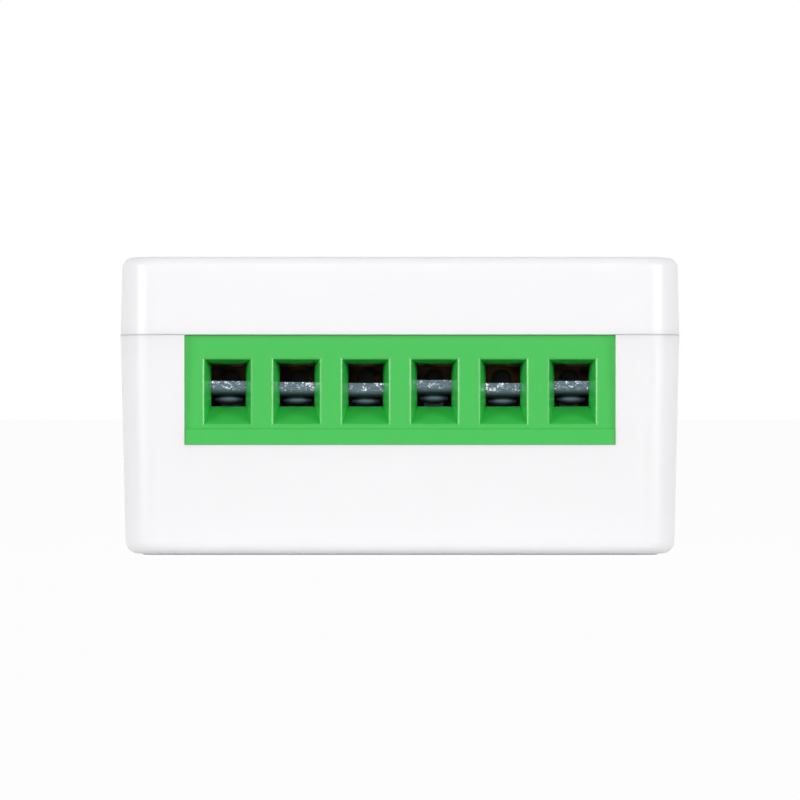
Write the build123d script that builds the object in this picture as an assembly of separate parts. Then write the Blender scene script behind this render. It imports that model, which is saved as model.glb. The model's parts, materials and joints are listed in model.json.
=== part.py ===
"""Smart relay module: a white two-shell case with a green six-way screw terminal block in its front.

Millimetres, +Z up, origin at the middle of the underside. The wire entries face -Y.
Each terminal is a rising clamp: a captive screw lifts a steel cage, which presses the wire against a
brass bar. The case holds the terminal block, a board, a low relay, a mains supply and a radio board.
"""

import os
from math import hypot, radians, tan

from build123d import *

# Case: two drafted shells that meet level with the top of the block's face
case_width = 41.5
case_depth = 48.0
case_height = 22.0
case_wall = 1.5
floor_thickness = 1.5
roof_thickness = 1.5
corner_radius = 3.1
base_edge_radius = 0.9
lid_edge_radius = 0.8
draft_angle = 1.4
standing_panel_height = 0.08
standing_panel_inset = 1.75
seam_gap = 0.02
tongue_thickness = 0.75
tongue_length = 1.2
slip_clearance = 0.1
overrun = 1.0

# Snap arms of the lid, and the pockets in the base that they catch in
snap_width = 5.5
snap_thickness = 1.0
snap_length = 4.0
snap_root = 2.0
snap_hook_height = 1.4
snap_hook_reach = 0.5

# Terminal block housing
ways = 6
block_end_margin = 0.6
block_side_land = 4.91
block_front_height = 8.08
block_rear_wall = 1.4
block_recess = 0.4
block_shoulder = 1.25
block_foot_height = 1.11
block_foot_proud = 0.12
block_rear_chamfer = 0.8
block_edge_bevel = 0.03
block_fit = 0.02
roof_clearance = 0.4

# Wire funnel: a bevelled mouth that narrows to the aperture in front of the clamp
mouth_width = 3.43
mouth_height = 4.76
mouth_rise = 1.52
mouth_bevel_width = 0.12
mouth_bevel_depth = 0.08
aperture_width = 2.56
aperture_height = 3.14
aperture_rise = 2.8
funnel_depth = 1.8
chamber_wall = 0.8
chamber_end_gap = 0.15

# Clamp cage, its travel down to open and up to close, and how far each one is left from the mean
cage_side_gap = 0.14
cage_depth = 4.2
cage_side = 0.6
cage_top = 0.8
cage_setback = 0.2
cage_corner_radius = 0.45
cage_fall_share = 0.3936
cage_rise_share = 0.2128
cage_play = 0.12
rest_lift_shares = [0.02, -0.01, -0.035, 0.045, -0.035, 0.02]
jaw_thickness = 1.14
jaw_nose_radius = 0.5
jaw_edge_radius = 0.12
jaw_opening = 1.07
jaw_bead_width = 2.1
jaw_bead_height = 0.69
jaw_bead_setback = 0.5
jaw_bead_radius = 0.4
jaw_bead_end_radius = 0.12

# Terminal screw, held under the lid by a ledge of the housing
screw_side_gap = 0.15
thread_pitch = 0.45
screw_tip_chamfer = 0.35
head_radius_share = 1.44
head_height = 1.0
head_chamfer = 0.15
head_recess = 0.1
head_clearance = 0.2
slot_width_share = 0.361
slot_depth = 0.5
cross_length_share = 1.278
ledge_thickness = 0.55
ledge_play = 0.03
thread_clearance = 0.05
access_clearance = 0.15
access_chamfer = 0.3

# Brass contact of each terminal
contact_thickness = 0.6
contact_bar_gap = 0.2
contact_plate_gap = 0.44
contact_gap = 0.15
contact_pin_width = 1.0
arch_width = 1.5
arch_drop = 0.2
arch_foot = 0.9

# Board and its supports
board_thickness = 1.6
board_level_share = 0.3709
board_edge_clearance = 0.35
board_corner_radius = 1.0
lead_clearance = 0.15
lead_tail = 1.2
lead_radius = 0.3
front_post_radius = 1.1
front_post_inset = 1.5
rear_post_radius = 1.7
rear_post_inset = 2.1
peg_radius = 0.8
peg_height = 1.2
post_clearance = 0.15
component_gap = 1.0
component_inset = 0.3

# Relay: low power relay with an open magnet inside
relay_length_share = 0.5554
relay_width = 15.0
relay_height_share = 0.8266
relay_wall = 0.8
relay_edge_radius = 0.5
relay_seat = 0.3
relay_base_thickness = 1.4
relay_fit = 0.05
magnet_inset = 0.3
magnet_seat = 0.2
armature_room = 2.5
magnet_height_share = 0.8974
magnet_width_share = 0.5225
coil_radius_share = 0.457
flange_thickness = 0.7
spool_wall = 0.5
core_radius_share = 0.1857
pole_margin = 0.9
pole_thickness = 0.8
yoke_thickness = 1.1
yoke_margin = 0.2
armature_thickness = 1.0
armature_margin = 0.4
armature_gap = 0.05
armature_angle = 5.0
blade_thickness = 0.25
blade_height = 3.0
blade_standoff_share = 0.112
blade_foot = 4.5
blade_length_share = 0.855
rivet_radius = 0.95
rivet_height = 0.6
rivet_gap = 0.05
contact_post_thickness = 0.6
contact_post_width = 4.0
relay_pin_width = 0.8

# Upright capacitors
input_can_radius_share = 0.193
input_can_headroom = 0.74
input_can_pitch = 3.5
output_can_radius_share = 0.152
output_can_height = 8.0
output_can_pitch = 2.5
can_seat = 0.3
can_edge_radius = 0.4
can_groove_radius = 0.3
can_groove_rise = 1.3

# Transformer
core_width_share = 0.5066
core_height = 8.6
core_depth_share = 0.1333
core_leg_share = 0.1238
former_wall = 0.5
former_flange = 0.8
former_reach = 2.1
former_clearance = 0.1
winding_margin = 0.4
winding_edge_radius = 0.8
rail_height = 0.9
rail_depth = 1.2
transformer_seat = 0.3
transformer_pin_share = 0.4156

# Varistor and fusible resistor
varistor_radius_share = 0.118
varistor_thickness_share = 0.1737
varistor_seat = 1.0
varistor_edge_share = 1 / 3
varistor_pitch = 5.0
fuse_length_share = 0.1722
fuse_cap_radius_share = 0.0844
fuse_cap_step = 0.15
fuse_cap_length = 1.2
fuse_seat = 0.4
fuse_lead_reach = 0.85

# Inductor and opto-isolator
inductor_radius_share = 0.0694
inductor_height = 6.0
inductor_flange = 0.9
inductor_waist = 0.6
inductor_pitch = 2.5
isolator_width = 6.4
isolator_length = 4.6
isolator_height = 3.2
isolator_legs = 2
isolator_leg_width = 1.2
isolator_leg_pitch = 2.54
leg_reach = 1.0
leg_thickness = 0.3
leg_foot = 0.6

# Parts under the board
under_relay_length_shares = [0.245, 0.235, 0.145]
controller_width = 3.9
controller_height_share = 0.2964
controller_legs = 4
controller_leg_pitch = 1.27
controller_leg_width = 0.42
bridge_width = 3.9
bridge_height_share = 0.4743
bridge_legs = 2
bridge_leg_pitch = 2.54
bridge_leg_width = 0.6
regulator_width = 3.5
regulator_height_share = 0.2767
regulator_legs = 2
regulator_leg_pitch = 1.9
regulator_leg_width = 0.45
chip_length = 2.0
chip_width = 1.25
chip_height = 0.6
chip_spacing = 3.2
chip_cap_length = 0.4
chip_cap_step = 0.05

# Radio board under the rear of the main board
radio_side_gap = 5.6
radio_front_gap = 0.2
radio_thickness_share = 0.1581
radio_edge_gap = 0.4
radio_edge_contacts = 6
antenna_length = 4.4
shield_margin = 0.8
shield_height_share = 0.2964
shield_edge_radius = 0.3

# Tact switch and the pairing button over it
switch_size = 6.0
switch_height = 3.5
switch_edge_chamfer = 0.4
switch_leg_width = 0.7
switch_leg_spacing = 4.5
plunger_radius = 1.75
plunger_depth = 0.8
plunger_clearance = 0.06
button_radius = 2.5
button_clearance = 0.1
button_recess = 0.1
button_edge_radius = 0.3
button_flange_radius = 3.2
button_flange_height = 0.8
button_stem_radius = 1.2
button_stem_length = 2.0
button_play = 0.05
button_travel = 0.25
guide_wall = 0.7
guide_height = 2.0

# Status light and the pipe that shows it in the lid
light_length = 2.0
light_width = 1.25
light_height = 0.8
light_chamfer = 0.15
light_spacing = 7.5
light_gap = 0.4
pipe_radius = 1.0
pipe_collar_radius = 1.5
pipe_collar_height = 0.8
pipe_clearance = 0.04

# Widths of the clamp: the ways share the front between two side lands, 5.08 apart
pitch = (case_width - 2 * (block_side_land + block_end_margin)) / ways
chamber_width = pitch - chamber_wall
cage_width = chamber_width - 2 * cage_side_gap
cage_opening = cage_width - 2 * cage_side
screw_radius = cage_opening / 2 - screw_side_gap
head_radius = screw_radius * head_radius_share
slot_width = head_radius * slot_width_share
cross_length = head_radius * cross_length_share
contact_bar_width = cage_opening - 2 * contact_bar_gap
contact_plate_width = chamber_width - 2 * contact_plate_gap

# Levels of the case and the board
ceiling = case_height - roof_thickness
board_top = case_height * board_level_share
board_bottom = board_top - board_thickness
rim_level = board_top + block_front_height
parting_level = rim_level + seam_gap
tail_level = board_bottom - lead_tail
block_height = ceiling - roof_clearance - board_top
block_top = board_top + block_height

# Levels of the clamp: the cage hangs between the housing's foot and its screw ledge
clamp_stack = (arch_foot + jaw_bead_height + jaw_thickness + jaw_opening + contact_thickness + cage_top
               + 3 * cage_play + ledge_thickness + ledge_play + head_height + head_recess)
cage_fall = (block_height - clamp_stack) * cage_fall_share
cage_rise = (block_height - clamp_stack) * cage_rise_share
jaw_bottom = cage_play + cage_fall + jaw_bead_height + arch_foot
jaw_top = jaw_bottom + jaw_thickness
bar_bottom = jaw_top + jaw_opening
bar_top = bar_bottom + contact_thickness
cage_inner_top = bar_top + cage_fall + cage_play
cage_outer_top = cage_inner_top + cage_top
chamber_top = cage_outer_top + cage_rise + cage_play
head_seat = chamber_top + ledge_thickness + ledge_play
head_top = head_seat + head_height

# Places from front to rear of the terminal block
case_front = -case_depth / 2
block_front = case_front + block_recess
chamber_front = block_front + funnel_depth
cage_front = chamber_front + cage_setback
cage_rear = cage_front + cage_depth
contact_front = cage_rear + contact_gap
contact_rear = contact_front + contact_thickness
chamber_rear = contact_rear + chamber_end_gap
block_rear = chamber_rear + block_rear_wall
screw_place = (cage_front + cage_rear) / 2
block_width = ways * pitch + 2 * block_end_margin
way_places = [(way - (ways - 1) / 2) * pitch for way in range(ways)]

# Board outline inside the drafted base
base_lean = (rim_level - board_bottom) * tan(radians(draft_angle))
board_width = case_width - 2 * (case_wall + base_lean + board_edge_clearance)
board_depth = case_depth - 2 * (case_wall + base_lean + board_edge_clearance)
board_left, board_right = -board_width / 2, board_width / 2
board_front, board_rear = -board_depth / 2, board_depth / 2
front_post_x = board_right - front_post_inset
front_post_places = [(side * front_post_x, board_front + front_post_inset) for side in (-1, 1)]
rear_post_x = board_right - rear_post_inset
rear_post_places = [(side * rear_post_x, board_rear - rear_post_inset) for side in (-1, 1)]
snap_front = case_front + corner_radius + slip_clearance + snap_width / 2
snap_rear = board_rear - rear_post_inset - rear_post_radius - snap_hook_reach - snap_width / 2

# Room behind the block and under the board, shared out among what stands there
row_front = block_rear + component_gap
row_room = board_rear - row_front
right_side = board_right - component_inset
supply_room = right_side - board_left - component_inset - relay_width - component_gap
under_room = board_bottom - floor_thickness
relay_length = row_room * relay_length_share
relay_height = (ceiling - board_top) * relay_height_share
input_can_radius = supply_room * input_can_radius_share
input_can_height = ceiling - input_can_headroom - board_top - can_seat
output_can_radius = supply_room * output_can_radius_share
varistor_radius = row_room * varistor_radius_share
varistor_thickness = supply_room * varistor_thickness_share
fuse_length = row_room * fuse_length_share
fuse_cap_radius = supply_room * fuse_cap_radius_share
core_width = supply_room * core_width_share
core_depth = row_room * core_depth_share
core_leg = core_width * core_leg_share
core_middle_leg = 2 * core_leg
former_width = core_width - 2 * (core_leg + former_clearance)
inductor_radius = row_room * inductor_radius_share
controller_length, bridge_length, regulator_length = [
    relay_length * share for share in under_relay_length_shares]

# Rows of components behind the block, and columns in from the board's sides
row_a_depth = 2 * max(input_can_radius, varistor_radius, fuse_length / 2 + fuse_lead_reach + lead_radius)
row_a = row_front + row_a_depth / 2
transformer_length = core_depth + 2 * former_reach
row_b = row_a + row_a_depth / 2 + component_gap + transformer_length / 2
row_c = row_b + transformer_length / 2 + component_gap + isolator_length / 2
row_d = row_c + isolator_length / 2 + component_gap + inductor_radius
input_can_place = (right_side - input_can_radius, row_a)
varistor_place = (input_can_place[0] - input_can_radius - component_gap - varistor_thickness / 2, row_a)
fuse_place = (varistor_place[0] - varistor_thickness / 2 - component_gap - fuse_cap_radius, row_a)
transformer_place = (right_side - core_width / 2, row_b)
output_can_place = (transformer_place[0] - core_width / 2 - component_gap - output_can_radius, row_b)
isolator_place = (right_side - leg_reach - isolator_width / 2, row_c)
inductor_place = (board_right - 2 * rear_post_inset - component_gap - inductor_radius, row_d)
relay_place = (board_left + component_inset + relay_width / 2, row_front + relay_length / 2)
relay_rear = row_front + relay_length
switch_place = (board_left + component_inset + leg_reach + switch_size / 2,
                relay_rear + component_gap + switch_size / 2)
light_place = (switch_place[0] + light_spacing, switch_place[1])
radio_left = switch_place[0] + switch_size / 2 + leg_reach
radio_rear = board_rear - radio_edge_gap
radio_width = inductor_place[0] - inductor_radius - radio_side_gap - radio_left
radio_length = radio_rear - relay_rear - radio_front_gap
radio_thickness = under_room * radio_thickness_share
shield_length = radio_length - shield_margin - antenna_length
radio_place = (radio_left + radio_width / 2, radio_rear - radio_length / 2)

# Levels of the pairing button's train
switch_top = board_top + switch_height
button_top = case_height - button_recess
flange_top = ceiling - button_play
plunger_top = flange_top - button_flange_height - button_stem_length
light_top = board_top + light_height

# Relay magnet, in the relay's own frame: middle of its underside, armature to the front
relay_inner_x = relay_width / 2 - relay_wall
relay_inner_y = relay_length / 2 - relay_wall
magnet_room = relay_height - relay_wall - relay_base_thickness - magnet_seat
flange_size = min(magnet_room * magnet_height_share, 2 * relay_inner_x * magnet_width_share)
coil_radius = flange_size * coil_radius_share
core_radius = flange_size * core_radius_share
pole_radius = flange_size / 2 - pole_margin
yoke_height = flange_size - 2 * yoke_margin
armature_height = flange_size - 2 * armature_margin
coil_length = (2 * relay_inner_y - magnet_inset - yoke_thickness - pole_thickness - armature_gap
               - armature_thickness - blade_thickness - armature_room)
blade_length = coil_length * blade_length_share
blade_standoff = 2 * relay_inner_x * blade_standoff_share
magnet_x = -relay_inner_x + magnet_inset + flange_size / 2
magnet_z = relay_base_thickness + magnet_seat + flange_size / 2
heel_rear = relay_inner_y - magnet_inset
heel_front = heel_rear - yoke_thickness
coil_front = heel_front - coil_length
pole_face = coil_front - pole_thickness
arm_inner = magnet_x + flange_size / 2 + magnet_seat
arm_outer = arm_inner + yoke_thickness
hinge_place = (arm_outer, pole_face)
armature_inner = pole_face - armature_gap
armature_outer = armature_inner - armature_thickness
blade_inner = arm_outer + blade_standoff
rivet_y = armature_outer + blade_length - rivet_radius
rivet_inner = blade_inner + blade_thickness + rivet_height + rivet_gap
post_inner = rivet_inner + rivet_height
relay_bottom = board_top + relay_seat


def block(x_range, y_range, z_range):
    """Block between two limits on each axis."""
    size = [high - low for low, high in (x_range, y_range, z_range)]
    low_corner = [low for low, high in (x_range, y_range, z_range)]
    return Pos(*low_corner) * Box(*size, align=(Align.MIN, Align.MIN, Align.MIN))


def middle(centre, width):
    """Limits of a width about its centre."""
    return centre - width / 2, centre + width / 2


def column(place, radius, bottom, top):
    """Upright cylinder over a place, between two levels."""
    return Pos(place[0], place[1], bottom) * Cylinder(
        radius, top - bottom, align=(Align.CENTER, Align.CENTER, Align.MIN))


def side_profile(points, x_range):
    """Solid of an outline of (y, z) points, drawn out along X."""
    outline = make_face(Polyline([(x_range[0], y, z) for y, z in points], close=True))
    return extrude(outline, x_range[1] - x_range[0], dir=(1, 0, 0))


def front_profile(points, y_range):
    """Solid of an outline of (x, z) points, drawn out along Y."""
    outline = make_face(Polyline([(x, y_range[0], z) for x, z in points], close=True))
    return extrude(outline, y_range[1] - y_range[0], dir=(0, 1, 0))


def upright_sheet(width, depth, radius, bottom, top):
    """Rounded rectangle drawn up from one level to another."""
    return extrude(Pos(0, 0, bottom) * RectangleRounded(width, depth, radius), top - bottom)


def drafted(inset, level, height):
    """Case outline, inset by a wall, drawn up or down from a level and narrowing by the draft angle."""
    outline = RectangleRounded(case_width - 2 * inset, case_depth - 2 * inset, corner_radius - inset)
    return extrude(Pos(0, 0, level) * outline, height, taper=draft_angle)


def inset_ring(outer_inset, inner_inset, bottom, top):
    """Upright ring between two insets from the case outline at the seam."""
    outer = upright_sheet(case_width - 2 * outer_inset, case_depth - 2 * outer_inset,
                          corner_radius - outer_inset, bottom, top)
    return outer - upright_sheet(case_width - 2 * inner_inset, case_depth - 2 * inner_inset,
                                 corner_radius - inner_inset, bottom - overrun, top + overrun)


def snap_arm(side, place):
    """Lid arm with a hook that ramps in below and catches flat above."""
    wall_face = case_width / 2 - case_wall
    arm_face = wall_face - 2 * slip_clearance
    arm_back = arm_face - snap_thickness
    tip = parting_level - snap_length
    hook_face = arm_face + slip_clearance + snap_hook_reach
    points = [(arm_back, tip), (arm_face, tip), (hook_face, tip + snap_hook_height / 2),
              (hook_face, tip + snap_hook_height), (arm_face, tip + snap_hook_height),
              (arm_face, parting_level), (wall_face + case_wall / 2, parting_level),
              (wall_face + case_wall / 2, parting_level + snap_root), (arm_back, parting_level + snap_root)]
    return front_profile([(side * x, z) for x, z in points], middle(place, snap_width))


def snap_pocket(side, place):
    """Pocket in the base wall for one hook, with clearance all round."""
    outer = case_width / 2 - case_wall + snap_hook_reach + slip_clearance
    inner = case_width / 2 - case_wall - snap_thickness
    tip = parting_level - snap_length
    z_range = (tip - slip_clearance, tip + snap_hook_height + slip_clearance)
    x_range = sorted((side * inner, side * outer))
    return block(x_range, middle(place, snap_width + 2 * slip_clearance), z_range)


def make_base_shell():
    """Lower shell: floor on a low panel, drafted walls, rebated rim, window, board posts, snap pockets."""
    shell = drafted(0, rim_level, standing_panel_height - rim_level)
    shell = fillet(shell.edges().group_by(Axis.Z)[0], base_edge_radius)
    panel_width, panel_depth = case_width - 2 * standing_panel_inset, case_depth - 2 * standing_panel_inset
    shell += block(middle(0, panel_width), middle(0, panel_depth), (0, floor_thickness / 2))
    shell -= drafted(case_wall, rim_level, floor_thickness - rim_level)
    shell -= inset_ring(case_wall - tongue_thickness - slip_clearance, case_wall + overrun,
                        rim_level - tongue_length, rim_level + overrun)
    shell -= block(middle(0, block_width + 2 * block_fit), middle(case_front, 2 * (case_wall + overrun)),
                   (board_top - block_fit, rim_level + overrun))
    for side in (-1, 1):
        for place in (snap_front, snap_rear):
            shell -= snap_pocket(side, place)
    for place in front_post_places:
        shell += column(place, front_post_radius, floor_thickness / 2, board_bottom)
    for place in rear_post_places:
        shell += column(place, rear_post_radius, floor_thickness / 2, board_bottom)
        shell += column(place, peg_radius, board_bottom - board_thickness / 2, board_top + peg_height)
    return shell


def make_lid():
    """Upper shell: roof, tongue, snap arms, screwdriver holes, button and light holes, board posts."""
    height = case_height - parting_level
    lid = drafted(0, parting_level, height)
    lid = fillet(lid.edges().group_by(Axis.Z)[-1], lid_edge_radius)
    lid -= drafted(case_wall, parting_level, height - roof_thickness)
    tongue = inset_ring(case_wall - tongue_thickness, case_wall, parting_level - tongue_length, parting_level)
    tongue -= block(middle(0, block_width + 2 * slip_clearance + tongue_thickness), (case_front, 0),
                    (parting_level - 2 * tongue_length, parting_level + overrun))
    lid += tongue
    for side in (-1, 1):
        for place in (snap_front, snap_rear):
            lid += snap_arm(side, place)
    for x in way_places:
        place = (x, screw_place)
        lid -= column(place, head_radius + access_clearance, ceiling - overrun, case_height + overrun)
        mouth = Cone(head_radius + access_clearance, head_radius + access_clearance + 2 * access_chamfer,
                     2 * access_chamfer)
        lid -= Pos(x, screw_place, case_height) * mouth
    for place, bore, hole in (
            (switch_place, button_flange_radius + button_clearance, button_radius + button_clearance),
            (light_place, pipe_collar_radius + pipe_clearance, pipe_radius + pipe_clearance)):
        lid += column(place, bore + guide_wall, ceiling - guide_height, ceiling + roof_thickness / 2)
        lid -= column(place, bore, ceiling - guide_height - overrun, ceiling)
        lid -= column(place, hole, ceiling - overrun, case_height + overrun)
    for place in rear_post_places:
        lid += column(place, rear_post_radius, board_top + post_clearance, ceiling + roof_thickness / 2)
        lid -= column(place, peg_radius + post_clearance, board_top, board_top + peg_height + post_clearance)
    return lid


def funnel(x):
    """Cut for one wire entry: bevel, taper to the aperture, and a straight run into the chamber."""
    def opening(y, width, height, rise):
        place = Pos(x, y, board_top + rise + height / 2) * Rot(90, 0, 0)
        return place * Rectangle(width, height)

    outer_width = mouth_width + 4 * mouth_bevel_width
    outer_height = mouth_height + 4 * mouth_bevel_width
    outer_rise = mouth_rise - 2 * mouth_bevel_width
    bevel = loft([opening(block_front - mouth_bevel_depth, outer_width, outer_height, outer_rise),
                  opening(block_front + mouth_bevel_depth, mouth_width, mouth_height, mouth_rise)], ruled=True)
    taper = loft([opening(block_front + mouth_bevel_depth, mouth_width, mouth_height, mouth_rise),
                  opening(chamber_front, aperture_width, aperture_height, aperture_rise)], ruled=True)
    straight = block(middle(x, aperture_width), (chamber_front, chamber_front + cage_setback / 2),
                     (board_top + aperture_rise, board_top + aperture_rise + aperture_height))
    return bevel + taper + straight


def make_terminal_housing():
    """Green six-way housing: stepped face, wire funnels, clamp chambers open below, recessed screw seats."""
    points = [(block_front - block_foot_proud, board_top),
              (block_front - block_foot_proud, board_top + block_foot_height),
              (block_front, board_top + block_foot_height + block_foot_proud),
              (block_front, rim_level - block_edge_bevel),
              (block_front + block_edge_bevel, rim_level),
              (block_front + block_shoulder, rim_level),
              (block_front + block_shoulder, block_top),
              (block_rear - block_rear_chamfer, block_top),
              (block_rear, block_top - block_rear_chamfer),
              (block_rear, board_top)]
    housing = side_profile(points, middle(0, block_width))
    for x in way_places:
        place = (x, screw_place)
        housing -= block(middle(x, chamber_width), (chamber_front, chamber_rear),
                         (board_top - overrun, board_top + chamber_top))
        housing -= funnel(x)
        housing -= column(place, screw_radius + head_clearance, board_top + chamber_top - overrun,
                          block_top + overrun)
        housing -= column(place, head_radius + head_clearance, board_top + head_seat - ledge_play,
                          block_top + overrun)
    return housing


def rest_lift(way):
    """How far a way's cage is left above or below the mean level."""
    return rest_lift_shares[way % len(rest_lift_shares)] * (cage_fall + cage_rise)


def make_clamp_cage(way):
    """Steel cage: folded ring round the brass bar, threaded roof, jaw with a rounded chin and a bead."""
    x = way_places[way]
    ring = RectangleRounded(cage_width, cage_outer_top - jaw_bottom, cage_corner_radius)
    ring_level = board_top + (jaw_bottom + cage_outer_top) / 2
    cage = extrude(Pos(x, cage_front, ring_level) * Rot(-90, 0, 0) * ring, cage_depth, dir=(0, 1, 0))
    cage -= block(middle(x, cage_opening), (cage_front - overrun, cage_rear + overrun),
                  (board_top + jaw_bottom - overrun, board_top + cage_inner_top))
    jaw = block(middle(x, cage_opening), (cage_front, cage_rear),
                (board_top + jaw_bottom, board_top + jaw_top))
    lip = jaw.edges().filter_by(Axis.X).group_by(Axis.Y)[0].sort_by(Axis.Z)
    jaw = fillet(lip[0], jaw_nose_radius)
    cage += fillet(jaw.edges().filter_by(Axis.X).group_by(Axis.Z)[-1].sort_by(Axis.Y)[0], jaw_edge_radius)
    left, right = middle(0, jaw_bead_width)
    ends = Polyline((right, jaw_bead_end_radius), (right, 0), (left, 0), (left, jaw_bead_end_radius))
    crown = ThreePointArc((left, jaw_bead_end_radius), (0, jaw_bead_radius), (right, jaw_bead_end_radius))
    bead = revolve(make_face(ends + crown), Axis.X)
    cage += Pos(x, cage_front + jaw_bead_setback + jaw_bead_radius,
                board_top + jaw_bottom - jaw_bead_height + jaw_bead_radius) * bead
    cage -= column((x, screw_place), screw_radius + thread_clearance, board_top + cage_inner_top - cage_play,
                   board_top + cage_outer_top + overrun)
    return Pos(0, 0, rest_lift(way)) * cage


def make_clamp_screw(way):
    """Terminal screw with a slotted cross head, turned as far as its cage is lifted."""
    axis = (0, 0)
    head = column(axis, head_radius, board_top + head_seat, board_top + head_top)
    head = chamfer(head.edges().group_by(Axis.Z)[-1], head_chamfer)
    slot_range = (board_top + head_top - slot_depth, board_top + head_top + overrun)
    head -= block(middle(0, 2 * head_radius + overrun), middle(0, slot_width), slot_range)
    head -= block(middle(0, slot_width), middle(0, cross_length), slot_range)
    shank = column(axis, screw_radius, board_top + bar_top + cage_play / 2, board_top + head_seat)
    screw = head + chamfer(shank.edges().group_by(Axis.Z)[0], screw_tip_chamfer)
    return Pos(way_places[way], screw_place, 0) * Rot(0, 0, -360 * rest_lift(way) / thread_pitch) * screw


def make_terminal_contact(x):
    """Brass contact: bar through the cage, arched plate behind it, and a pin down through the board."""
    bar = block(middle(x, contact_bar_width), (cage_front, contact_rear),
                (board_top + bar_bottom, board_top + bar_top))
    plate = block(middle(x, contact_plate_width), (contact_front, contact_rear),
                  (board_top, board_top + bar_top))
    crown = board_top + bar_bottom - arch_drop
    arch = block(middle(x, arch_width), (contact_front - overrun, contact_rear + overrun),
                 (board_top + arch_foot, crown - arch_width / 2))
    arch += Pos(x, (contact_front + contact_rear) / 2, crown - arch_width / 2) * Rot(90, 0, 0) * Cylinder(
        arch_width / 2, contact_thickness + 2 * overrun)
    pin = block(middle(x, contact_pin_width), (contact_front, contact_rear),
                (tail_level, board_top + arch_foot / 2))
    return bar + (plate - arch) + pin


def relay_holes():
    """Relay pin places on the board."""
    return [(relay_place[0] + x, relay_place[1] + y) for x, y in relay_pin_places()]


def relay_pin_places():
    """Relay pins in the relay's own frame: two of the coil, one of the yoke, one of the fixed contact."""
    coil_y = heel_front - flange_thickness / 2
    coil_x = flange_size / 2 - relay_pin_width
    yoke_place = ((arm_inner + arm_outer) / 2, heel_front)
    return [(magnet_x - coil_x, coil_y), (magnet_x + coil_x, coil_y), yoke_place,
            (post_inner + contact_post_thickness / 2, rivet_y)]


def board_holes():
    """Place and radius of every hole that a lead passes through."""
    wire = lead_radius + lead_clearance
    relay_hole = hypot(relay_pin_width, relay_pin_width) / 2 + lead_clearance
    contact_hole = hypot(contact_pin_width, contact_thickness) / 2 + lead_clearance
    holes = [((x, (contact_front + contact_rear) / 2), contact_hole) for x in way_places]
    holes += [(place, relay_hole) for place in relay_holes()]
    holes += [(place, peg_radius + post_clearance) for place in rear_post_places]
    holes += [(place, wire) for place in can_leads(input_can_place, input_can_pitch)]
    holes += [(place, wire) for place in can_leads(output_can_place, output_can_pitch)]
    holes += [(place, wire) for place in can_leads(inductor_place, inductor_pitch)]
    holes += [(place, wire) for place in varistor_leads()]
    holes += [(place, wire) for place in fuse_leads()]
    holes += [(place, wire) for place in transformer_pins()]
    return holes


def make_main_board():
    """Main board with a hole for every lead and for the two pegs."""
    board = upright_sheet(board_width, board_depth, board_corner_radius, board_bottom, board_top)
    for place, radius in board_holes():
        board -= column(place, radius, board_bottom - overrun, board_top + overrun)
    return board


def on_relay(piece):
    """Move a piece from the relay's own frame to its place on the board."""
    return Pos(relay_place[0], relay_place[1], relay_bottom) * piece


def make_relay_cover():
    """Relay cover, open below."""
    cover = extrude(Rectangle(relay_width, relay_length), relay_height)
    rims = cover.edges().filter_by(Axis.Z) + cover.edges().group_by(Axis.Z)[-1]
    cover = fillet(rims, relay_edge_radius)
    cover -= block(middle(0, 2 * relay_inner_x), middle(0, 2 * relay_inner_y),
                   (-overrun, relay_height - relay_wall))
    return on_relay(cover)


def make_relay_base():
    """Relay base plate inside the cover, with a hole for each pin."""
    base = block(middle(0, 2 * (relay_inner_x - relay_fit)), middle(0, 2 * (relay_inner_y - relay_fit)),
                 (0, relay_base_thickness))
    for place in relay_pin_places():
        base -= column(place, hypot(relay_pin_width, relay_pin_width) / 2 + relay_fit, -overrun,
                       relay_base_thickness + overrun)
    return on_relay(base)


def along_coil(radius, front, rear):
    """Cylinder on the coil's axis, between two places along Y."""
    return Pos(magnet_x, (front + rear) / 2, magnet_z) * Rot(90, 0, 0) * Cylinder(radius, rear - front)


def make_relay_bobbin():
    """Spool of the coil with two square flanges."""
    spool_radius = core_radius + relay_fit + spool_wall
    spool = along_coil(spool_radius, coil_front, heel_front)
    sizes = middle(magnet_x, flange_size), middle(magnet_z, flange_size)
    for front in (coil_front, heel_front - flange_thickness):
        flange = block(sizes[0], (front, front + flange_thickness), sizes[1])
        spool += fillet(flange.edges().filter_by(Axis.Y), flange_thickness)
    return on_relay(spool - along_coil(core_radius + relay_fit, coil_front - overrun, heel_front + overrun))


def make_relay_coil():
    """Copper winding between the flanges."""
    front, rear = coil_front + flange_thickness, heel_front - flange_thickness
    winding = along_coil(coil_radius, front, rear)
    bore = along_coil(core_radius + 2 * relay_fit + spool_wall, front - overrun, rear + overrun)
    return on_relay(winding - bore)


def make_relay_core():
    """Iron core with a wider pole at the armature's end."""
    core = along_coil(core_radius, coil_front, heel_front)
    return on_relay(core + along_coil(pole_radius, pole_face, coil_front))


def make_relay_yoke():
    """L-shaped iron yoke: heel behind the coil, arm beside it, and a pin down through the board."""
    z_range = middle(magnet_z, yoke_height)
    heel = block((magnet_x - flange_size / 2, arm_outer), (heel_front, heel_rear), z_range)
    arm = block((arm_inner, arm_outer), (pole_face, heel_front), z_range)
    pin_x, pin_y = relay_pin_places()[2]
    pin = block(middle(pin_x, relay_pin_width), middle(pin_y, relay_pin_width),
                (tail_level - relay_bottom, z_range[0]))
    yoke = heel + arm
    outer = yoke.edges().filter_by(Axis.Z).sort_by(Axis.Y)[-2:].sort_by(Axis.X)[-1]
    return on_relay(fillet(outer, yoke_thickness / 2) + pin)


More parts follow.
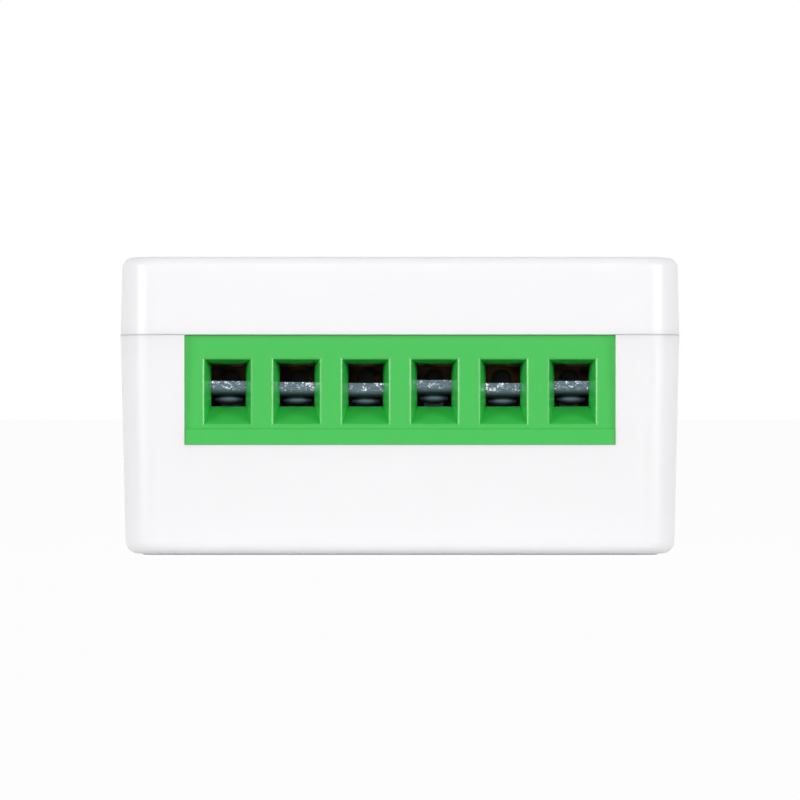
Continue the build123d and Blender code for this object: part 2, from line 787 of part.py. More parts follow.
def opened(piece):
    """Swing a piece from the closed armature to its open rest about the end of the yoke."""
    swing = Pos(*hinge_place, 0) * Rot(0, 0, armature_angle) * Pos(-hinge_place[0], -hinge_place[1], 0)
    return on_relay(swing * piece)


def rivet(inner):
    """Contact rivet on an axis along X, from a place outwards."""
    place = Pos(inner + rivet_height / 2, rivet_y, magnet_z)
    return place * Rot(0, 90, 0) * Cylinder(rivet_radius, rivet_height)


def make_relay_armature():
    """Iron plate across the pole, hinged on the end of the yoke's arm."""
    plate = block((magnet_x - armature_height / 2, arm_outer), (armature_outer, armature_inner),
                  middle(magnet_z, armature_height))
    corners = plate.edges().filter_by(Axis.Y).group_by(Axis.X)[0]
    return opened(fillet(corners, armature_thickness / 2))


def make_relay_blade():
    """Spring blade on the armature, bent round to carry the moving contact."""
    z_range = middle(magnet_z, blade_height)
    foot = block((blade_inner + blade_thickness - blade_foot, blade_inner + blade_thickness),
                 (armature_outer - blade_thickness, armature_outer), z_range)
    arm = block((blade_inner, blade_inner + blade_thickness),
                (armature_outer - blade_thickness, armature_outer + blade_length), z_range)
    return opened(foot + arm + rivet(blade_inner + blade_thickness))


def make_relay_contact():
    """Fixed contact on its post, with a pin down through the board."""
    x_range = (post_inner, post_inner + contact_post_thickness)
    post = block(x_range, middle(rivet_y, contact_post_width),
                 (relay_base_thickness + relay_fit, magnet_z + blade_height / 2))
    pin = block(x_range, middle(rivet_y, relay_pin_width),
                (tail_level - relay_bottom, relay_base_thickness + relay_fit))
    post = fillet(post.edges().filter_by(Axis.X).group_by(Axis.Z)[-1], rivet_height)
    return on_relay(rivet(rivet_inner) + post + pin)


def make_relay_coil_pins():
    """Two pins that stand under the rear flange of the bobbin."""
    z_range = (tail_level - relay_bottom, magnet_z - flange_size / 2)
    pins = [block(middle(x, relay_pin_width), middle(y, relay_pin_width / 2), z_range)
            for x, y in relay_pin_places()[:2]]
    return Compound(children=[on_relay(pin) for pin in pins])


def can_leads(place, lead_pitch):
    """Places of the two leads of an upright part, side by side along X."""
    return [(place[0] + side * lead_pitch / 2, place[1]) for side in (-1, 1)]


def make_can(place, radius, height, lead_pitch):
    """Upright electrolytic capacitor: can with a rolled groove, and two leads."""
    bottom = board_top + can_seat
    can = column(place, radius, bottom, bottom + height)
    can = fillet(can.edges().filter_by(GeomType.CIRCLE), can_edge_radius)
    groove = Torus(radius + can_groove_radius / 2, can_groove_radius)
    can -= Pos(place[0], place[1], bottom + can_groove_rise) * groove
    for lead in can_leads(place, lead_pitch):
        can += column(lead, lead_radius, tail_level, bottom + can_edge_radius)
    return can


def make_inductor():
    """Drum inductor: ferrite flanges, a wound waist and two leads."""
    bottom = board_top + can_seat
    top = bottom + inductor_height
    drum = column(inductor_place, inductor_radius - inductor_waist, bottom, top)
    drum += column(inductor_place, inductor_radius, bottom, bottom + inductor_flange)
    drum += column(inductor_place, inductor_radius, top - inductor_flange, top)
    for lead in can_leads(inductor_place, inductor_pitch):
        drum += column(lead, lead_radius, tail_level, bottom + inductor_flange)
    return drum


def varistor_leads():
    """Places of the varistor's leads, one behind the other."""
    return [(varistor_place[0], varistor_place[1] + side * varistor_pitch / 2) for side in (-1, 1)]


def make_varistor():
    """Coated disc that stands on edge, with two leads."""
    level = board_top + varistor_seat + varistor_radius
    disc = Pos(*varistor_place, level) * Rot(0, 90, 0) * Cylinder(varistor_radius, varistor_thickness)
    disc = fillet(disc.edges().filter_by(GeomType.CIRCLE), varistor_thickness * varistor_edge_share)
    for lead in varistor_leads():
        disc += column(lead, lead_radius, tail_level, level)
    return disc


def fuse_leads():
    """Places where the fusible resistor's leads go down."""
    reach = fuse_length / 2 + fuse_lead_reach
    return [(fuse_place[0], fuse_place[1] + side * reach) for side in (-1, 1)]


def make_fuse_resistor():
    """Axial resistor that lies along Y, with end caps and bent leads."""
    level = board_top + fuse_seat + fuse_cap_radius
    body = Pos(*fuse_place, level) * Rot(90, 0, 0) * Cylinder(fuse_cap_radius - fuse_cap_step, fuse_length)
    for side in (-1, 1):
        cap_y = fuse_place[1] + side * (fuse_length - fuse_cap_length) / 2
        body += Pos(fuse_place[0], cap_y, level) * Rot(90, 0, 0) * Cylinder(fuse_cap_radius, fuse_cap_length)
        end_y = fuse_place[1] + side * (fuse_length - fuse_cap_length) / 2
        drop_y = fuse_place[1] + side * (fuse_length / 2 + fuse_lead_reach)
        path = FilletPolyline((fuse_place[0], end_y, level), (fuse_place[0], drop_y, level),
                              (fuse_place[0], drop_y, tail_level), radius=2 * lead_radius)
        section = Plane(origin=path @ 0, z_dir=path % 0) * Circle(lead_radius)
        body += sweep(section, path=path)
    return body


def transformer_pins():
    """Places of the transformer's pins: two rows of three."""
    x, y = transformer_place
    y_reach = transformer_length / 2 - rail_depth / 2
    pin_pitch = former_width * transformer_pin_share
    return [(x + step * pin_pitch, y + side * y_reach) for side in (-1, 1) for step in (-1, 0, 1)]


def transformer_level():
    """Level of the underside of the transformer's core."""
    return board_top + transformer_seat + rail_height


def core_half(side):
    """One E of the core, with its legs up or down to the joint at mid height."""
    x, y = transformer_place
    y_range = middle(y, core_depth)
    centre = transformer_level() + core_height / 2
    outer = centre - side * core_height / 2
    inner = outer + side * core_leg
    half = block(middle(x, core_width), y_range, sorted((outer, inner)))
    half += block(middle(x, core_middle_leg), y_range, sorted((outer, centre)))
    for end in (-1, 1):
        leg_x = x + end * (core_width - core_leg) / 2
        half += block(middle(leg_x, core_leg), y_range, sorted((outer, centre)))
    return half


def make_transformer_core():
    """Two ferrite E halves, face to face."""
    return Compound(children=[core_half(1), core_half(-1)])


def make_transformer_former():
    """Former: tube round the middle leg, flanges in the windows, and rails that stand on the board."""
    x, y = transformer_place
    low = transformer_level() + core_leg + former_clearance
    high = transformer_level() + core_height - core_leg - former_clearance
    tube_width = core_middle_leg + 2 * (former_clearance + former_wall)
    tube_depth = core_depth + 2 * (former_clearance + former_wall)
    former = block(middle(x, tube_width), middle(y, tube_depth), (low, high))
    former += block(middle(x, former_width), middle(y, transformer_length), (low, low + former_flange))
    former += block(middle(x, former_width), middle(y, transformer_length), (high - former_flange, high))
    for side in (-1, 1):
        rail_y = y + side * (transformer_length - rail_depth) / 2
        former += block(middle(x, former_width), middle(rail_y, rail_depth),
                        (board_top + transformer_seat, low))
    return former - block(middle(x, core_middle_leg + 2 * former_clearance),
                          middle(y, core_depth + 2 * former_clearance), (low - overrun, high + overrun))


def make_transformer_winding():
    """Taped winding round the former's tube."""
    x, y = transformer_place
    gap = former_clearance / 2
    low = transformer_level() + core_leg + former_clearance + former_flange + gap
    high = transformer_level() + core_height - core_leg - former_clearance - former_flange - gap
    width = core_width - 2 * (core_leg + winding_margin)
    depth = transformer_length - 2 * winding_margin
    winding = block(middle(x, width), middle(y, depth), (low, high))
    winding = fillet(winding.edges().filter_by(Axis.Z), winding_edge_radius)
    return winding - block(middle(x, core_middle_leg + 2 * (former_clearance + former_wall + gap)),
                           middle(y, core_depth + 2 * (former_clearance + former_wall + gap)),
                           (low - overrun, high + overrun))


def make_transformer_pins():
    """Six pins under the rails."""
    return Compound(children=[column(place, lead_radius, tail_level, board_top + transformer_seat)
                              for place in transformer_pins()])


def chip_body(place, width, length, thickness, level, direction):
    """Moulded chip body off a board face: up for direction 1, down for direction -1."""
    gap = direction * leg_thickness / 2
    far = level + direction * thickness
    body = block(middle(place[0], width), middle(place[1], length), sorted((level + gap, far)))
    rim = body.faces().sort_by(Axis.Z)[-1 if direction > 0 else 0].edges()
    return chamfer(rim, leg_thickness / 2)


def gull_leg(place, side, body_width, leg_width, thickness, level, direction):
    """One gull-wing leg from a chip's side down to the pad."""
    side_x = place[0] + side * body_width / 2
    toe_x = side_x + side * leg_reach
    knee_x = toe_x - side * leg_foot
    shoulder = level + direction * thickness / 2
    top = shoulder + direction * leg_thickness
    points = [(side_x, shoulder), (side_x, top), (knee_x + side * leg_thickness, top),
              (knee_x + side * leg_thickness, level + direction * leg_thickness),
              (toe_x, level + direction * leg_thickness), (toe_x, level), (knee_x, level), (knee_x, shoulder)]
    return front_profile(points, middle(place[1], leg_width))


def make_chip(place, width, length, thickness, level, direction, legs, leg_pitch, leg_width):
    """Chip with gull-wing legs on its two long sides."""
    chip = chip_body(place, width, length, thickness, level, direction)
    for side in (-1, 1):
        for number in range(legs):
            leg_place = (place[0], place[1] + (number - (legs - 1) / 2) * leg_pitch)
            chip += gull_leg(leg_place, side, width, leg_width, thickness, level, direction)
    return chip


def under_relay(before, length):
    """Place under the relay, in from the row's front by what stands before it."""
    return relay_place[0], row_front + relay_wall + before + length / 2


def make_chip_resistors():
    """Row of small surface parts under the board, in front of the terminal pins."""
    count = 2 * (ways - 2)
    y = (board_front + front_post_inset + contact_front) / 2
    bottom = board_bottom - chip_height
    parts = []
    for number in range(count):
        x = (number - (count - 1) / 2) * chip_spacing
        body = block(middle(x, chip_length), middle(y, chip_width - 2 * chip_cap_step),
                     (bottom + chip_cap_step, board_bottom))
        for end in (-1, 1):
            cap_x = x + end * (chip_length - chip_cap_length) / 2
            body += block(middle(cap_x, chip_cap_length), middle(y, chip_width), (bottom, board_bottom))
        parts.append(body)
    return Compound(children=parts)


def make_radio_board():
    """Thin radio board against the underside of the main board, with half-round edge contacts."""
    x, y = radio_place
    board = block(middle(x, radio_width), middle(y, radio_length),
                  (board_bottom - radio_thickness, board_bottom))
    edge_pitch = 2 * shield_margin
    for side in (-1, 1):
        for number in range(radio_edge_contacts):
            notch_y = y - radio_length / 2 + (number + 1) * edge_pitch
            board -= column((x + side * radio_width / 2, notch_y), shield_margin / 2,
                            board_bottom - radio_thickness - overrun, board_bottom + overrun)
    return board


def make_radio_shield():
    """Metal can over the radio's chips."""
    x, y = radio_place
    front = y - radio_length / 2 + shield_margin
    top = board_bottom - radio_thickness
    can = block(middle(x, radio_width - 2 * shield_margin - shield_margin), (front, front + shield_length),
                (top - under_room * shield_height_share, top))
    return fillet(can.edges().filter_by(Axis.Z) + can.edges().group_by(Axis.Z)[0], shield_edge_radius)


def make_switch_body():
    """Tact switch body with a bore for its plunger and four legs."""
    x, y = switch_place
    body = block(middle(x, switch_size), middle(y, switch_size), (board_top, switch_top))
    body = chamfer(body.edges().filter_by(Axis.Z), switch_edge_chamfer)
    body -= column(switch_place, plunger_radius + plunger_clearance,
                   switch_top - plunger_depth - 2 * button_travel, switch_top + overrun)
    for side in (-1, 1):
        for end in (-1, 1):
            leg_y = y + end * switch_leg_spacing / 2
            body += gull_leg((x, leg_y), side, switch_size, switch_leg_width, switch_height / 2, board_top, 1)
    return body


def make_switch_plunger():
    """Plunger of the tact switch."""
    plunger = column(switch_place, plunger_radius, switch_top - plunger_depth, plunger_top)
    return chamfer(plunger.edges().group_by(Axis.Z)[-1], switch_edge_chamfer)


def make_pairing_button():
    """Button: cap in the roof, flange under it, and a stem down to the plunger."""
    cap = column(switch_place, button_radius, flange_top - button_flange_height, button_top)
    cap = fillet(cap.edges().group_by(Axis.Z)[-1], button_edge_radius)
    cap += column(switch_place, button_flange_radius, flange_top - button_flange_height, flange_top)
    return cap + column(switch_place, button_stem_radius, plunger_top, flange_top)


def make_light_pipe():
    """Clear pipe from the roof down to just above the status light, with a collar under the roof."""
    pipe = column(light_place, pipe_radius, light_top + light_gap, button_top)
    collar_top = ceiling - pipe_clearance
    return pipe + column(light_place, pipe_collar_radius, collar_top - pipe_collar_height, collar_top)


def make_status_light():
    """Surface light on the board."""
    x, y = light_place
    body = block(middle(x, light_length), middle(y, light_width), (board_top, light_top))
    return chamfer(body.faces().sort_by(Axis.Z)[-1].edges(), light_chamfer)


def make_chips():
    """Chips by node name: one on the board and three under the relay."""
    controller_place = under_relay(0, controller_length)
    bridge_place = under_relay(controller_length + component_gap, bridge_length)
    regulator_place = under_relay(controller_length + bridge_length + 2 * component_gap, regulator_length)
    return {
        "opto_isolator": make_chip(
            isolator_place, isolator_width, isolator_length, isolator_height, board_top, 1,
            isolator_legs, isolator_leg_pitch, isolator_leg_width),
        "power_controller": make_chip(
            controller_place, controller_width, controller_length, under_room * controller_height_share,
            board_bottom, -1, controller_legs, controller_leg_pitch, controller_leg_width),
        "bridge_rectifier": make_chip(
            bridge_place, bridge_width, bridge_length, under_room * bridge_height_share,
            board_bottom, -1, bridge_legs, bridge_leg_pitch, bridge_leg_width),
        "voltage_regulator": make_chip(
            regulator_place, regulator_width, regulator_length, under_room * regulator_height_share,
            board_bottom, -1, regulator_legs, regulator_leg_pitch, regulator_leg_width),
    }


def make_cans():
    """Electrolytic capacitors by node name."""
    return {
        "input_capacitor": make_can(input_can_place, input_can_radius, input_can_height, input_can_pitch),
        "output_capacitor": make_can(
            output_can_place, output_can_radius, output_can_height, output_can_pitch),
    }


def make_clamps():
    """Cage, screw and contact of every way by node name."""
    clamps = {}
    for way in range(ways):
        clamps[f"clamp_cage_{way + 1}"] = make_clamp_cage(way)
        clamps[f"clamp_screw_{way + 1}"] = make_clamp_screw(way)
        clamps[f"terminal_contact_{way + 1}"] = make_terminal_contact(way_places[way])
    return clamps


nodes = {
    "base_shell": make_base_shell(),
    "lid": make_lid(),
    "pairing_button": make_pairing_button(),
    "light_pipe": make_light_pipe(),
    "terminal_housing": make_terminal_housing(),
    "main_board": make_main_board(),
    "relay_cover": make_relay_cover(),
    "relay_base": make_relay_base(),
    "relay_bobbin": make_relay_bobbin(),
    "relay_coil": make_relay_coil(),
    "relay_core": make_relay_core(),
    "relay_yoke": make_relay_yoke(),
    "relay_armature": make_relay_armature(),
    "relay_contact_blade": make_relay_blade(),
    "relay_fixed_contact": make_relay_contact(),
    "relay_coil_pins": make_relay_coil_pins(),
    "filter_inductor": make_inductor(),
    "varistor": make_varistor(),
    "fuse_resistor": make_fuse_resistor(),
    "transformer_core": make_transformer_core(),
    "transformer_former": make_transformer_former(),
    "transformer_winding": make_transformer_winding(),
    "transformer_pins": make_transformer_pins(),
    "chip_resistors": make_chip_resistors(),
    "radio_board": make_radio_board(),
    "radio_shield": make_radio_shield(),
    "tact_switch": make_switch_body(),
    "tact_plunger": make_switch_plunger(),
    "status_light": make_status_light(),
    **make_cans(),
    **make_chips(),
    **make_clamps(),
}
os.makedirs("parts", exist_ok=True)
for name, shape in nodes.items():
    export_step(shape, f"parts/{name}.step")
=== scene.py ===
"""Looks of the smart relay module: a finish for every piece, the screws' threads, ground, lamps and camera."""

import json
from math import cos, pi, radians, sin

import bmesh
import bpy
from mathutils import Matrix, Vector


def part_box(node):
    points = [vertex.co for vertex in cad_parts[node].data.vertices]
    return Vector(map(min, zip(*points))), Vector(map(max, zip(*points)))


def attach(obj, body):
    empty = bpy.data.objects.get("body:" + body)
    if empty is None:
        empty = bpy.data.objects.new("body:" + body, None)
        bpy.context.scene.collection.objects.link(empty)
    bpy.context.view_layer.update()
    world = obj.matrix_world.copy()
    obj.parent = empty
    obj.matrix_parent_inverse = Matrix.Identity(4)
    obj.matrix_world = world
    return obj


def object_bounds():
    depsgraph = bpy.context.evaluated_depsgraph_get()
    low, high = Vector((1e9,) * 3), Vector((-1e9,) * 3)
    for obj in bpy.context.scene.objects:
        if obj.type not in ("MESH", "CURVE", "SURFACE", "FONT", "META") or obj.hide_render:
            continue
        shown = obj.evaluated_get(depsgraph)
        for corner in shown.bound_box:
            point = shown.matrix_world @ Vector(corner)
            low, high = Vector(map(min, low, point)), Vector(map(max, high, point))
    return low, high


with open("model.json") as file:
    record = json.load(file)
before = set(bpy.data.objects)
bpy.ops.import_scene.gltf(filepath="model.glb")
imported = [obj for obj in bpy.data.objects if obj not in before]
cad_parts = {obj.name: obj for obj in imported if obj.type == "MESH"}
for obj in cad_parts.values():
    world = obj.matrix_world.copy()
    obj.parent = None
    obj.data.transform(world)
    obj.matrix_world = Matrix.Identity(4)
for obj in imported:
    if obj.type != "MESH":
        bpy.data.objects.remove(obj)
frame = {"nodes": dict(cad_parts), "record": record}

cad_low, cad_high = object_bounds()
nodes = frame["nodes"]
record = frame["record"]
mm = 0.001
micron = 0.001 * mm
block_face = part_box("terminal_housing")[0].y

# The photograph's view: pixels of its 800 by 800 frame, and the scale at the face of the terminal block
frame_pixels = 800
pixels_per_mm = 13.59
face_bottom_pixel = 555.5
camera_distance = 300 * mm
sensor_width = 36.0

# Plain moulded pieces: sRGB colour, roughness, and height of the surface grain in microns
moulded_finishes = {
    "button_plastic": ((240, 240, 243), 0.28, 0.6),
    "relay_plastic": ((34, 36, 40), 0.42, 0.6),
    "bobbin_plastic": ((232, 226, 210), 0.45, 0.6),
    "can_sleeve": ((24, 28, 48), 0.34, 0.6),
    "ferrite": ((52, 52, 56), 0.62, 3.0),
    "former_plastic": ((40, 40, 44), 0.5, 0.6),
    "winding_tape": ((236, 196, 60), 0.3, 0.6),
    "varistor_coating": ((36, 84, 150), 0.4, 2.0),
    "resistor_coating": ((88, 132, 120), 0.5, 2.0),
    "chip_plastic": ((30, 30, 33), 0.55, 2.0),
    "chip_ceramic": ((64, 58, 54), 0.5, 2.0),
    "switch_plastic": ((28, 28, 30), 0.45, 0.6),
    "light_plastic": ((238, 232, 196), 0.25, 0.6)}

# Bare metals: darker and lighter sRGB colour, roughness, and features per metre
metal_finishes = {
    "screw_steel": ((150, 152, 158), (180, 182, 186), 0.3, 1500),
    # contact_brass is near black: its colour is painted shade for the dark chamber the contact sits in
    "contact_brass": ((12, 9, 6), (40, 28, 18), 0.3, 4000),
    "shield_metal": ((196, 198, 202), (214, 215, 218), 0.3, 1500),
    "soft_iron": ((150, 150, 150), (172, 172, 174), 0.36, 1500),
    "spring_copper": ((196, 128, 84), (214, 148, 100), 0.26, 1500),
    "tinned_metal": ((200, 202, 204), (220, 221, 222), 0.28, 1500)}

# Circuit boards: lighter and darker sRGB colour of the solder mask
laminate_finishes = {
    "board_laminate": ((36, 96, 62), (28, 80, 50)),
    "radio_laminate": ((28, 34, 40), (20, 24, 30))}


def colour(red, green, blue):
    """Linear colour of an sRGB triple of 0 to 255."""
    def linear(value):
        value /= 255
        return value / 12.92 if value <= 0.04045 else ((value + 0.055) / 1.055) ** 2.4
    return linear(red), linear(green), linear(blue), 1.0


def grey(value):
    """Grey of a linear value."""
    return value, value, value, 1


class Material:
    """A node material round one Principled shader."""

    def __init__(self, name, base, roughness, metallic=0.0):
        self.material = bpy.data.materials.new(name)
        self.material.use_nodes = True
        self.tree = self.material.node_tree
        self.shader = self.tree.nodes["Principled BSDF"]
        self.fix("Base Color", base)
        self.fix("Roughness", roughness)
        self.fix("Metallic", metallic)
        self.coordinates = self.node("TexCoord").outputs["Object"]

    def fix(self, socket, value):
        """Set one of the shader's own sockets."""
        self.shader.inputs[socket].default_value = value

    def node(self, kind, source=None, socket="Vector", **values):
        """New shader node with values for its sockets, and a source for one of them."""
        made = self.tree.nodes.new(f"ShaderNode{kind}")
        for name, value in values.items():
            made.inputs[name.replace("_", " ")].default_value = value
        if source:
            self.link(source, made.inputs[socket])
        return made

    def link(self, start, end):
        self.tree.links.new(start, end)

    def noise(self, scale, detail=3.0):
        """Noise over the object's own coordinates, in features per metre."""
        return self.node("TexNoise", self.coordinates, Scale=scale, Detail=detail).outputs["Fac"]

    def ramp(self, source, *stops):
        """Colour ramp over a source; each stop is a place and a colour, the lowest and highest first."""
        ramp = self.node("ValToRGB", source, "Fac")
        elements = ramp.color_ramp.elements
        for number, (place, shade) in enumerate(stops[:2]):
            elements[number].position = place
            elements[number].color = shade
        for place, shade in stops[2:]:
            elements.new(place).color = shade
        return ramp.outputs["Color"]

    def spread(self, source, low, high):
        """Source of 0 to 1 spread between two values."""
        return self.node("MapRange", source, "Value", To_Min=low, To_Max=high).outputs["Result"]

    def step(self, source, low, high):
        """Nought at the low value, one at the high one, and a slope between."""
        return self.node("MapRange", source, "Value", From_Min=low, From_Max=high).outputs["Result"]

    def both(self, first, second, operation="MULTIPLY"):
        """Two values multiplied, or joined by another operation."""
        both = self.node("Math")
        both.operation = operation
        self.link(first, both.inputs[0])
        self.link(second, both.inputs[1])
        return both.outputs["Value"]

    def bump(self, source, height, strength=1.0):
        """Bump of a height in metres."""
        bump = self.node("Bump", source, "Height", Distance=height, Strength=strength)
        self.link(bump.outputs["Normal"], self.shader.inputs["Normal"])

    def vary(self, source, low, high):
        """Roughness that varies between two values."""
        self.link(self.spread(source, low, high), self.shader.inputs["Roughness"])

    def tint(self, source, first, second, low=0.35, high=0.65):
        """Base colour that varies between two."""
        self.link(self.ramp(source, (low, first), (high, second)), self.shader.inputs["Base Color"])


def moulded(name, base, roughness, grain):
    """Moulded plastic: faint flow marks in the gloss and a very fine surface grain."""
    flow_scale, grain_scale, gloss_spread = 260, 9000, 0.03
    plastic = Material(name, colour(*base), roughness)
    plastic.vary(plastic.noise(flow_scale), roughness - gloss_spread, roughness + gloss_spread)
    plastic.bump(plastic.noise(grain_scale, 2), grain * micron)
    return plastic


def metal(name, first, second, roughness, scale):
    """Bare metal with cloudy tone, uneven gloss and small pits."""
    smoother, rougher, pit_depth = 0.06, 0.08, 2 * micron
    bare = Material(name, colour(*first), roughness, 1.0)
    bare.tint(bare.noise(scale / 4), colour(*first), colour(*second))
    bare.vary(bare.noise(scale), roughness - smoother, roughness + rougher)
    bare.bump(bare.noise(scale * 3), pit_depth)
    return bare


def laminate(name, base, dark):
    """Circuit board: glass weave under a glossy solder mask."""
    roughness, weave_scale, tone_scale, weave_height = 0.35, 900, 120, 4 * micron
    board = Material(name, colour(*base), roughness)
    weave = board.node("TexWave", board.coordinates, Scale=weave_scale)
    board.tint(board.noise(tone_scale), colour(*dark), colour(*base))
    board.bump(weave.outputs["Fac"], weave_height, strength=0.4)
    return board


def case_plastic():
    """White plastic that lets a little light through, so that its thin gaps stay pale."""
    white = moulded("case_plastic", (246, 245, 248), 0.3, 0.5)
    white.fix("Subsurface Weight", 0.4)
    white.fix("Subsurface Radius", (1, 1, 1))
    white.fix("Subsurface Scale", 0.8 * mm)
    return white


def clear_plastic():
    clear = moulded("clear_plastic", (236, 240, 242), 0.15, 0.6)
    clear.fix("Transmission Weight", 0.85)
    return clear


def block_plastic():
    """Green nylon, smooth on its faces, with painted shade that darkens its colour inside its hollows, where it
    is also duller.

    The painted shade in the colour and the gloss follow how open a place is, from 0 deep in a hollow to 1 on the
    face and its rims.
    """
    face, hollow_reach, rim_depth = (66, 194, 83), 3.5 * mm, 0.3 * mm
    green = moulded("block_plastic", face, 0.2, 0.3)
    hollow = green.node("AmbientOcclusion", Distance=hollow_reach)
    place = green.node("SeparateXYZ", green.coordinates)
    rim = green.step(place.outputs["Y"], block_face + rim_depth, block_face + rim_depth / 2)
    openness = green.both(hollow.outputs["AO"], rim, "MAXIMUM")
    # Painted shade: the colour falls to near black deep in the hollows and stays the face's green on the face
    # and rims
    shade = green.ramp(openness, (0.12, colour(3, 7, 4)), (0.85, colour(*face)),
                       (0.33, colour(2, 40, 10)), (0.43, colour(44, 186, 70)))
    green.link(shade, green.shader.inputs["Base Color"])
    gloss = green.ramp(openness, (0.12, grey(0.9)), (0.26, grey(0.15)))
    green.link(gloss, green.shader.inputs["Roughness"])
    return green


def cage_steel():
    """Zinc-plated steel: dull blue-grey, with bright specks painted on as glints where the jaw faces out or up
    towards the lamps.
    """
    dull, glint_colour = colour(86, 102, 110), colour(200, 208, 216)
    speck_scale, patch_scale, facet_height = 8500, 1300, 0.02 * mm
    downward, upright = -0.3, -0.05
    bead_top, jaw_start = 0.12, 0.14
    steel = Material("cage_steel", dull, 0.3, 0.85)
    normal = steel.node("SeparateXYZ", steel.node("NewGeometry").outputs["True Normal"])
    place = steel.node("SeparateXYZ", steel.node("TexCoord").outputs["Generated"])
    # Where the jaw faces out or up towards the lamps, above its bead: the mask for the painted glints, the lower
    # roughness and the facets
    lamp_facing = steel.both(steel.step(normal.outputs["Z"], downward, upright),
                      steel.step(place.outputs["Z"], bead_top, jaw_start))
    cells = steel.node("TexVoronoi", steel.coordinates, Scale=speck_scale)
    chance = steel.node("SeparateColor", cells.outputs["Color"], "Color")
    patches = steel.step(steel.noise(patch_scale, 2), 0.42, 0.58)
    painted_glints = steel.step(chance.outputs["Red"], 0.6, 0.95)
    painted_glints = steel.both(steel.both(painted_glints, patches), lamp_facing)
    # Painted glints: bright specks coloured in only where the jaw faces the lamps
    steel.tint(painted_glints, dull, glint_colour, low=0, high=1)
    steel.vary(lamp_facing, 0.5, 0.25)
    steel.bump(steel.both(cells.outputs["Distance"], lamp_facing), facet_height)
    return steel


def coil_copper():
    """Wound copper wire: fine turns across the coil's axis."""
    wire = Material("coil_copper", colour(186, 96, 52), 0.3, 1.0)
    wave_scale, turn_height = 2600, 0.03 * mm
    turns = wire.node("TexWave", wire.coordinates, Scale=wave_scale)
    turns.bands_direction = "Y"
    wire.tint(turns.outputs["Fac"], colour(120, 54, 26), colour(206, 112, 64), low=0.1, high=0.6)
    wire.bump(turns.outputs["Fac"], turn_height)
    return wire


special_finishes = (case_plastic, clear_plastic, block_plastic, cage_steel, coil_copper)
materials = {make.__name__: make().material for make in special_finishes}
for make, table in ((moulded, moulded_finishes), (metal, metal_finishes), (laminate, laminate_finishes)):
    for name, values in table.items():
        materials[name] = make(name, *values).material


def paint(piece, slot):
    """Give a piece its slot's material."""
    piece.data.materials.clear()
    piece.data.materials.append(materials[slot])


slots = {part["node"]: part["material_slot"] for part in record["subparts"]}
for name, piece in nodes.items():
    paint(piece, slots[name])


def new_object(name, mesh):
    """Put a finished bmesh in the scene as an object."""
    built = bpy.data.meshes.new(name)
    mesh.to_mesh(built)
    mesh.free()
    made = bpy.data.objects.new(name, built)
    bpy.context.scene.collection.objects.link(made)
    return made


# Screw thread: a helical ridge on each clamp screw's shank, inside the cage's threaded roof
thread_pitch = 0.45 * mm
thread_root = 1.24 * mm
thread_crest = 1.29 * mm
thread_steps = 32
thread_foot_share = 0.3
thread_top_share = 0.06
thread_end_turns = 1.5
screw_head_height = 1.0 * mm


def make_thread(way):
    """Right-hand thread over the free length of one screw's shank."""
    low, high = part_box(f"clamp_screw_{way}")
    centre = (low + high) / 2
    start = low.z + thread_pitch
    end = high.z - screw_head_height - thread_end_turns * thread_pitch
    count = int((end - start) / thread_pitch * thread_steps)
    mesh = bmesh.new()
    rings = []
    for step in range(count + 1):
        angle = 2 * pi * step / thread_steps
        level = start + thread_pitch * step / thread_steps
        ridge = min(1, step / thread_steps, (count - step) / thread_steps)
        crest = thread_root + (thread_crest - thread_root) * ridge
        points = ((thread_root, -thread_foot_share), (crest, -thread_top_share),
                  (crest, thread_top_share), (thread_root, thread_foot_share))
        rings.append([mesh.verts.new((centre.x + radius * cos(angle), centre.y + radius * sin(angle),
                                      level + share * thread_pitch)) for radius, share in points])
    for near, far in zip(rings, rings[1:]):
        for side in range(4):
            mesh.faces.new((near[side], near[(side + 1) % 4], far[(side + 1) % 4], far[side]))
    mesh.faces.new(list(reversed(rings[0])))
    mesh.faces.new(rings[-1])
    bmesh.ops.recalc_face_normals(mesh, faces=mesh.faces)
    thread = new_object(f"screw_thread_{way}", mesh)
    for face in thread.data.polygons:
        face.use_smooth = True
    paint(thread, "screw_steel")
    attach(thread, f"screw_{way}")


ways = sum(name.startswith("clamp_screw_") for name in nodes)
for way in range(1, ways + 1):
    make_thread(way)

# Camera, level with the middle of the photograph's frame and square to the terminal face
camera_data = bpy.data.cameras.new("camera")
camera_data.sensor_width = sensor_width
camera_data.lens = camera_distance / mm * pixels_per_mm / frame_pixels * sensor_width
camera = bpy.data.objects.new("camera", camera_data)
camera.location = (0, block_face - camera_distance,
                   (face_bottom_pixel - frame_pixels / 2) / pixels_per_mm * mm)
camera.rotation_euler = (radians(90), 0, 0)
bpy.context.scene.collection.objects.link(camera)
bpy.context.scene.camera = camera

# Ground under the object, which shows white and keeps a light shadow, and a white surround that lights it evenly
ground_size = 4.0
ground_shade = 0.77
ground_roughness = 0.9
ground_shadow = 0.04
surround_strength = 0.28


def background_share(tree, share):
    """Given share for camera, glossy and transmission rays, and none for the rays that light the object."""
    path = tree.nodes.new("ShaderNodeLightPath")
    seen = path.outputs["Is Camera Ray"]
    for ray in ("Is Glossy Ray", "Is Transmission Ray"):
        either = tree.nodes.new("ShaderNodeMath")
        either.operation = "MAXIMUM"
        tree.links.new(seen, either.inputs[0])
        tree.links.new(path.outputs[ray], either.inputs[1])
        seen = either.outputs[0]
    scaled = tree.nodes.new("ShaderNodeMath")
    scaled.operation = "MULTIPLY"
    scaled.inputs[1].default_value = share
    tree.links.new(seen, scaled.inputs[0])
    return scaled.outputs[0]


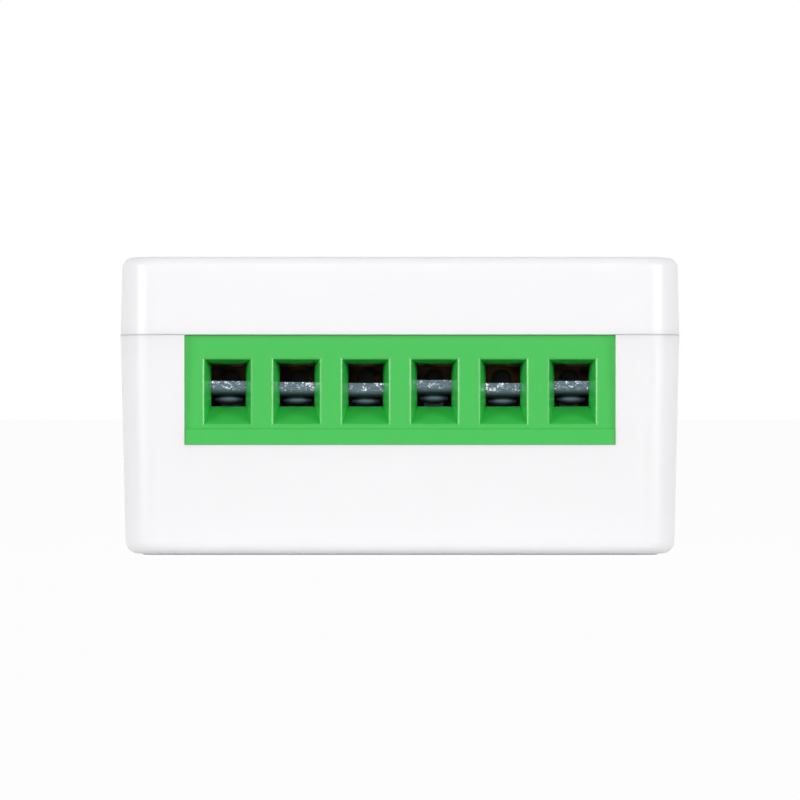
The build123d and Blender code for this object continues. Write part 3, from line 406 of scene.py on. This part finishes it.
def mix_in_white(tree, kind, share, lit, output):
    """Join a lit shader to the output, with white in its place for a share of what the camera sees."""
    white = tree.nodes.new(f"ShaderNode{kind}")
    white.inputs["Color"].default_value = grey(1)
    mix = tree.nodes.new("ShaderNodeMixShader")
    tree.links.new(background_share(tree, share), mix.inputs["Fac"])
    tree.links.new(lit, mix.inputs[1])
    tree.links.new(white.outputs[kind], mix.inputs[2])
    tree.links.new(mix.outputs["Shader"], output.inputs["Surface"])


floor = bpy.data.materials.new("ground")
floor.use_nodes = True
shader = floor.node_tree.nodes["Principled BSDF"]
shader.inputs["Base Color"].default_value = grey(ground_shade)
shader.inputs["Roughness"].default_value = ground_roughness
mix_in_white(floor.node_tree, "Emission", 1 - ground_shadow, shader.outputs["BSDF"],
             floor.node_tree.nodes["Material Output"])

mesh = bmesh.new()
bmesh.ops.create_grid(mesh, x_segments=1, y_segments=1, size=ground_size / 2)
ground = new_object("ground", mesh)
ground.location = (0, 0, cad_low.z)
ground.data.materials.append(floor)

world = bpy.context.scene.world or bpy.data.worlds.new("world")
bpy.context.scene.world = world
world.use_nodes = True
world.node_tree.nodes.clear()
surround = world.node_tree.nodes.new("ShaderNodeBackground")
surround.inputs["Strength"].default_value = surround_strength
surround.inputs["Color"].default_value = grey(1)
mix_in_white(world.node_tree, "Background", 1, surround.outputs["Background"],
             world.node_tree.nodes.new("ShaderNodeOutputWorld"))

# Lamps in metres and watts, all aimed at the object: a broad one over the camera, one to each side, one overhead
lamps = {
    "front_lamp": ((0, -0.86, 0.28), 1.0, 0.35, 1.85),
    "left_lamp": ((-0.75, -0.5, 0.15), 0.35, 0.5, 4.15),
    "right_lamp": ((0.75, -0.5, 0.15), 0.35, 0.5, 4.2),
    "top_lamp": ((0, 0.15, 0.8), 0.6, 0.6, 0.3)}
aim = (cad_low + cad_high) / 2
for name, (place, width, height, power) in lamps.items():
    lamp = bpy.data.lights.new(name, "AREA")
    lamp.shape = "RECTANGLE"
    lamp.size, lamp.size_y, lamp.energy = width, height, power
    holder = bpy.data.objects.new(name, lamp)
    holder.location = place
    holder.rotation_euler = (aim - Vector(place)).to_track_quat("-Z", "Y").to_euler()
    bpy.context.scene.collection.objects.link(holder)

bpy.context.scene.view_settings.view_transform = "Standard"
